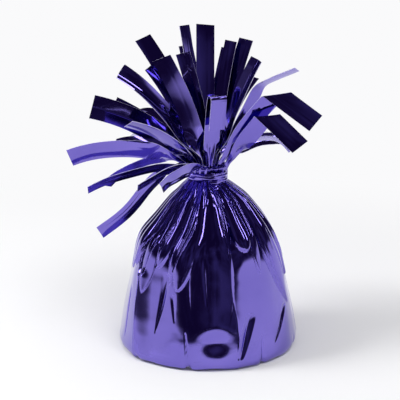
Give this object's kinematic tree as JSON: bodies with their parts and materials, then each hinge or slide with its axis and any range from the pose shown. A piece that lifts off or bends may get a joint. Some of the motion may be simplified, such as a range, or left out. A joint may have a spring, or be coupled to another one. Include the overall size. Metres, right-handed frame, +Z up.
{
  "type": "balloon weight",
  "caption": "Bell-shaped balloon weight: a filled cup wrapped in purple metallised film, gathered and tied at a neck, with a spray of film strips above; a balloon's ribbon ties round the neck.",
  "frame": {"origin": "centre of the foot, on the surface that the weight stands on", "axes": "+Z up from the foot through the neck; +X to the right and -Y towards the viewer as pictured"},
  "size_m": [0.0932, 0.0856, 0.1193],
  "materials": {
    "film": "mirror-bright purple metallised film, pleated",
    "fringe": "mirror-bright purple metallised film, cut edges",
    "tie": "film-covered tie, purple",
    "cup": "plain moulded",
    "filling": "cast, rough",
    "card": "plain card"
  },
  "bodies": {
    "body": {"foil_wrap": "film", "neck_tie": "tie", "inner_cup": "cup", "weight_core": "filling", "base_card": "card"},
    "strip_01": {"fringe_strip_01": "fringe"},
    "strip_02": {"fringe_strip_02": "fringe"},
    "strip_03": {"fringe_strip_03": "fringe"},
    "strip_04": {"fringe_strip_04": "fringe"},
    "strip_05": {"fringe_strip_05": "fringe"},
    "strip_06": {"fringe_strip_06": "fringe"},
    "strip_07": {"fringe_strip_07": "fringe"},
    "strip_08": {"fringe_strip_08": "fringe"},
    "strip_09": {"fringe_strip_09": "fringe"},
    "strip_10": {"fringe_strip_10": "fringe"},
    "strip_11": {"fringe_strip_11": "fringe"},
    "strip_12": {"fringe_strip_12": "fringe"},
    "strip_13": {"fringe_strip_13": "fringe"},
    "strip_14": {"fringe_strip_14": "fringe"},
    "strip_15": {"fringe_strip_15": "fringe"},
    "strip_16": {"fringe_strip_16": "fringe"},
    "strip_17": {"fringe_strip_17": "fringe"},
    "strip_18": {"fringe_strip_18": "fringe"},
    "strip_19": {"fringe_strip_19": "fringe"},
    "strip_20": {"fringe_strip_20": "fringe"},
    "strip_21": {"fringe_strip_21": "fringe"},
    "strip_22": {"fringe_strip_22": "fringe"},
    "strip_23": {"fringe_strip_23": "fringe"},
    "strip_24": {"fringe_strip_24": "fringe"},
    "strip_25": {"fringe_strip_25": "fringe"},
    "strip_26": {"fringe_strip_26": "fringe"},
    "strip_27": {"fringe_strip_27": "fringe"},
    "strip_28": {"fringe_strip_28": "fringe"},
    "strip_29": {"fringe_strip_29": "fringe"},
    "strip_30": {"fringe_strip_30": "fringe"},
    "strip_31": {"fringe_strip_31": "fringe"},
    "strip_32": {"fringe_strip_32": "fringe"},
    "strip_33": {"fringe_strip_33": "fringe"},
    "strip_34": {"fringe_strip_34": "fringe"},
    "strip_35": {"fringe_strip_35": "fringe"},
    "strip_36": {"fringe_strip_36": "fringe"}
  },
  "joints": [
    {"name": "strip_01_flex", "type": "hinge", "parent": "body", "child": "strip_01", "pos_m": [-0.00167, 0, 0.0693], "axis": [-0.5299, -0.848, 0], "range_deg": [-3, 8], "stiffness_Nm_per_rad": 0.002},
    {"name": "strip_02_flex", "type": "hinge", "parent": "body", "child": "strip_02", "pos_m": [-0.00046, 0.00161, 0.0693], "axis": [-1, 0, 0], "range_deg": [-1, 8], "stiffness_Nm_per_rad": 0.002},
    {"name": "strip_03_flex", "type": "hinge", "parent": "body", "child": "strip_03", "pos_m": [0.00166, 0.00023, 0.0693], "axis": [-0.5878, 0.809, 0], "range_deg": [-8, 5], "stiffness_Nm_per_rad": 0.002},
    {"name": "strip_04_flex", "type": "hinge", "parent": "body", "child": "strip_04", "pos_m": [-0.00012, -0.00167, 0.0693], "axis": [-0.1392, -0.9903, 0], "range_deg": [-8, 8], "stiffness_Nm_per_rad": 0.002},
    {"name": "strip_05_flex", "type": "hinge", "parent": "body", "child": "strip_05", "pos_m": [0.00272, 0.00263, 0.0693], "axis": [-0.4695, 0.8829, 0], "range_deg": [-4, 8], "stiffness_Nm_per_rad": 0.002},
    {"name": "strip_06_flex", "type": "hinge", "parent": "body", "child": "strip_06", "pos_m": [0.00376, -0.00046, 0.0693], "axis": [0.1564, 0.9877, 0], "range_deg": [-1, 4], "stiffness_Nm_per_rad": 0.002},
    {"name": "strip_07_flex", "type": "hinge", "parent": "body", "child": "strip_07", "pos_m": [-0.00185, -0.00569, 0.0693], "axis": [0.1045, -0.9945, 0], "range_deg": [-6, 6], "stiffness_Nm_per_rad": 0.002},
    {"name": "strip_08_flex", "type": "hinge", "parent": "body", "child": "strip_08", "pos_m": [-0.00328, -0.00189, 0.0693], "axis": [0.309, -0.9511, 0], "range_deg": [-6, 8], "stiffness_Nm_per_rad": 0.002},
    {"name": "strip_09_flex", "type": "hinge", "parent": "body", "child": "strip_09", "pos_m": [-0.00378, 0.0002, 0.0693], "axis": [-0.1045, -0.9945, 0], "range_deg": [-6, 8], "stiffness_Nm_per_rad": 0.002},
    {"name": "strip_10_flex", "type": "hinge", "parent": "body", "child": "strip_10", "pos_m": [-0.00302, 0.00228, 0.0693], "axis": [-0.5736, -0.8192, 0], "range_deg": [-8, 8], "stiffness_Nm_per_rad": 0.002},
    {"name": "strip_11_flex", "type": "hinge", "parent": "body", "child": "strip_11", "pos_m": [-0.00123, 0.00358, 0.0693], "axis": [-0.9511, -0.309, 0], "range_deg": [-4, 8], "stiffness_Nm_per_rad": 0.002},
    {"name": "strip_12_flex", "type": "hinge", "parent": "body", "child": "strip_12", "pos_m": [0.00092, 0.00367, 0.0693], "axis": [-0.9397, 0.342, 0], "range_deg": [-4, 8], "stiffness_Nm_per_rad": 0.002},
    {"name": "strip_13_flex", "type": "hinge", "parent": "body", "child": "strip_13", "pos_m": [0.00581, 0.00145, 0.0693], "axis": [0.0698, 0.9976, 0], "range_deg": [-4, 8], "stiffness_Nm_per_rad": 0.002},
    {"name": "strip_14_flex", "type": "hinge", "parent": "body", "child": "strip_14", "pos_m": [0.00484, -0.00352, 0.0693], "axis": [0.2079, 0.9781, 0], "range_deg": [-7, 3], "stiffness_Nm_per_rad": 0.002},
    {"name": "strip_15_flex", "type": "hinge", "parent": "body", "child": "strip_15", "pos_m": [0.00124, -0.00585, 0.0693], "axis": [0.8829, 0.4695, 0], "range_deg": [-6, 8], "stiffness_Nm_per_rad": 0.002},
    {"name": "strip_16_flex", "type": "hinge", "parent": "body", "child": "strip_16", "pos_m": [-0.00385, -0.00458, 0.0693], "axis": [0.342, -0.9397, 0], "range_deg": [-8, 8], "stiffness_Nm_per_rad": 0.002},
    {"name": "strip_17_flex", "type": "hinge", "parent": "body", "child": "strip_17", "pos_m": [-0.00594, -0.00073, 0.0693], "axis": [0.0175, -0.9998, 0], "range_deg": [-8, 8], "stiffness_Nm_per_rad": 0.002},
    {"name": "strip_18_flex", "type": "hinge", "parent": "body", "child": "strip_18", "pos_m": [-0.00578, 0.00155, 0.0693], "axis": [-0.2924, -0.9563, 0], "range_deg": [-8, 8], "stiffness_Nm_per_rad": 0.002},
    {"name": "strip_19_flex", "type": "hinge", "parent": "body", "child": "strip_19", "pos_m": [-0.00471, 0.00368, 0.0693], "axis": [-0.6293, -0.7771, 0], "range_deg": [-8, 8], "stiffness_Nm_per_rad": 0.002},
    {"name": "strip_20_flex", "type": "hinge", "parent": "body", "child": "strip_20", "pos_m": [-0.00262, 0.00538, 0.0693], "axis": [-0.8988, -0.4384, 0], "range_deg": [-8, 8], "stiffness_Nm_per_rad": 0.002},
    {"name": "strip_21_flex", "type": "hinge", "parent": "body", "child": "strip_21", "pos_m": [-0.00021, 0.00598, 0.0693], "axis": [-0.9994, -0.0349, 0], "range_deg": [-8, 8], "stiffness_Nm_per_rad": 0.002},
    {"name": "strip_22_flex", "type": "hinge", "parent": "body", "child": "strip_22", "pos_m": [0.00243, 0.00547, 0.0693], "axis": [-0.8988, 0.4384, 0], "range_deg": [-8, 8], "stiffness_Nm_per_rad": 0.002},
    {"name": "strip_23_flex", "type": "hinge", "parent": "body", "child": "strip_23", "pos_m": [0.00787, -0.00226, 0.0693], "axis": [0.4067, 0.9135, 0], "range_deg": [-3, 8], "stiffness_Nm_per_rad": 0.002},
    {"name": "strip_24_flex", "type": "hinge", "parent": "body", "child": "strip_24", "pos_m": [0.00806, 0.00142, 0.0693], "axis": [0.0349, 0.9994, 0], "range_deg": [-8, 8], "stiffness_Nm_per_rad": 0.002},
    {"name": "strip_25_flex", "type": "hinge", "parent": "body", "child": "strip_25", "pos_m": [-0.00794, -0.00198, 0.0693], "axis": [0.1392, -0.9903, 0], "range_deg": [-8, 8], "stiffness_Nm_per_rad": 0.002},
    {"name": "strip_26_flex", "type": "hinge", "parent": "body", "child": "strip_26", "pos_m": [-0.00815, 0.00071, 0.0693], "axis": [-0.1045, -0.9945, 0], "range_deg": [-8, 8], "stiffness_Nm_per_rad": 0.002},
    {"name": "strip_27_flex", "type": "hinge", "parent": "body", "child": "strip_27", "pos_m": [-0.00709, -0.00409, 0.0693], "axis": [0.4384, -0.8988, 0], "range_deg": [-4, 8], "stiffness_Nm_per_rad": 0.002},
    {"name": "strip_28_flex", "type": "hinge", "parent": "body", "child": "strip_28", "pos_m": [-0.00568, -0.00589, 0.0693], "axis": [0.515, -0.8572, 0], "range_deg": [-8, 3], "stiffness_Nm_per_rad": 0.002},
    {"name": "strip_29_flex", "type": "hinge", "parent": "body", "child": "strip_29", "pos_m": [-0.00371, -0.00729, 0.0693], "axis": [0.6947, -0.7193, 0], "range_deg": [-8, 8], "stiffness_Nm_per_rad": 0.002},
    {"name": "strip_30_flex", "type": "hinge", "parent": "body", "child": "strip_30", "pos_m": [-0.00142, -0.00806, 0.0693], "axis": [0.866, -0.5, 0], "range_deg": [-8, 5], "stiffness_Nm_per_rad": 0.002},
    {"name": "strip_31_flex", "type": "hinge", "parent": "body", "child": "strip_31", "pos_m": [-0.00742, 0.00346, 0.0693], "axis": [-0.4226, -0.9063, 0], "range_deg": [-8, 8], "stiffness_Nm_per_rad": 0.002},
    {"name": "strip_32_flex", "type": "hinge", "parent": "body", "child": "strip_32", "pos_m": [-0.00548, 0.00608, 0.0693], "axis": [-0.7431, -0.6691, 0], "range_deg": [-8, 8], "stiffness_Nm_per_rad": 0.002},
    {"name": "strip_33_flex", "type": "hinge", "parent": "body", "child": "strip_33", "pos_m": [-0.00253, 0.00778, 0.0693], "axis": [-0.9511, -0.309, 0], "range_deg": [-8, 8], "stiffness_Nm_per_rad": 0.002},
    {"name": "strip_34_flex", "type": "hinge", "parent": "body", "child": "strip_34", "pos_m": [0.00085, 0.00814, 0.0693], "axis": [-0.9945, 0.1045, 0], "range_deg": [-8, 8], "stiffness_Nm_per_rad": 0.002},
    {"name": "strip_35_flex", "type": "hinge", "parent": "body", "child": "strip_35", "pos_m": [0.00409, 0.00709, 0.0693], "axis": [-0.866, 0.5, 0], "range_deg": [-8, 8], "stiffness_Nm_per_rad": 0.002},
    {"name": "strip_36_flex", "type": "hinge", "parent": "body", "child": "strip_36", "pos_m": [0.00662, 0.00481, 0.0693], "axis": [-0.5878, 0.809, 0], "range_deg": [-8, 8], "stiffness_Nm_per_rad": 0.002}
  ]
}
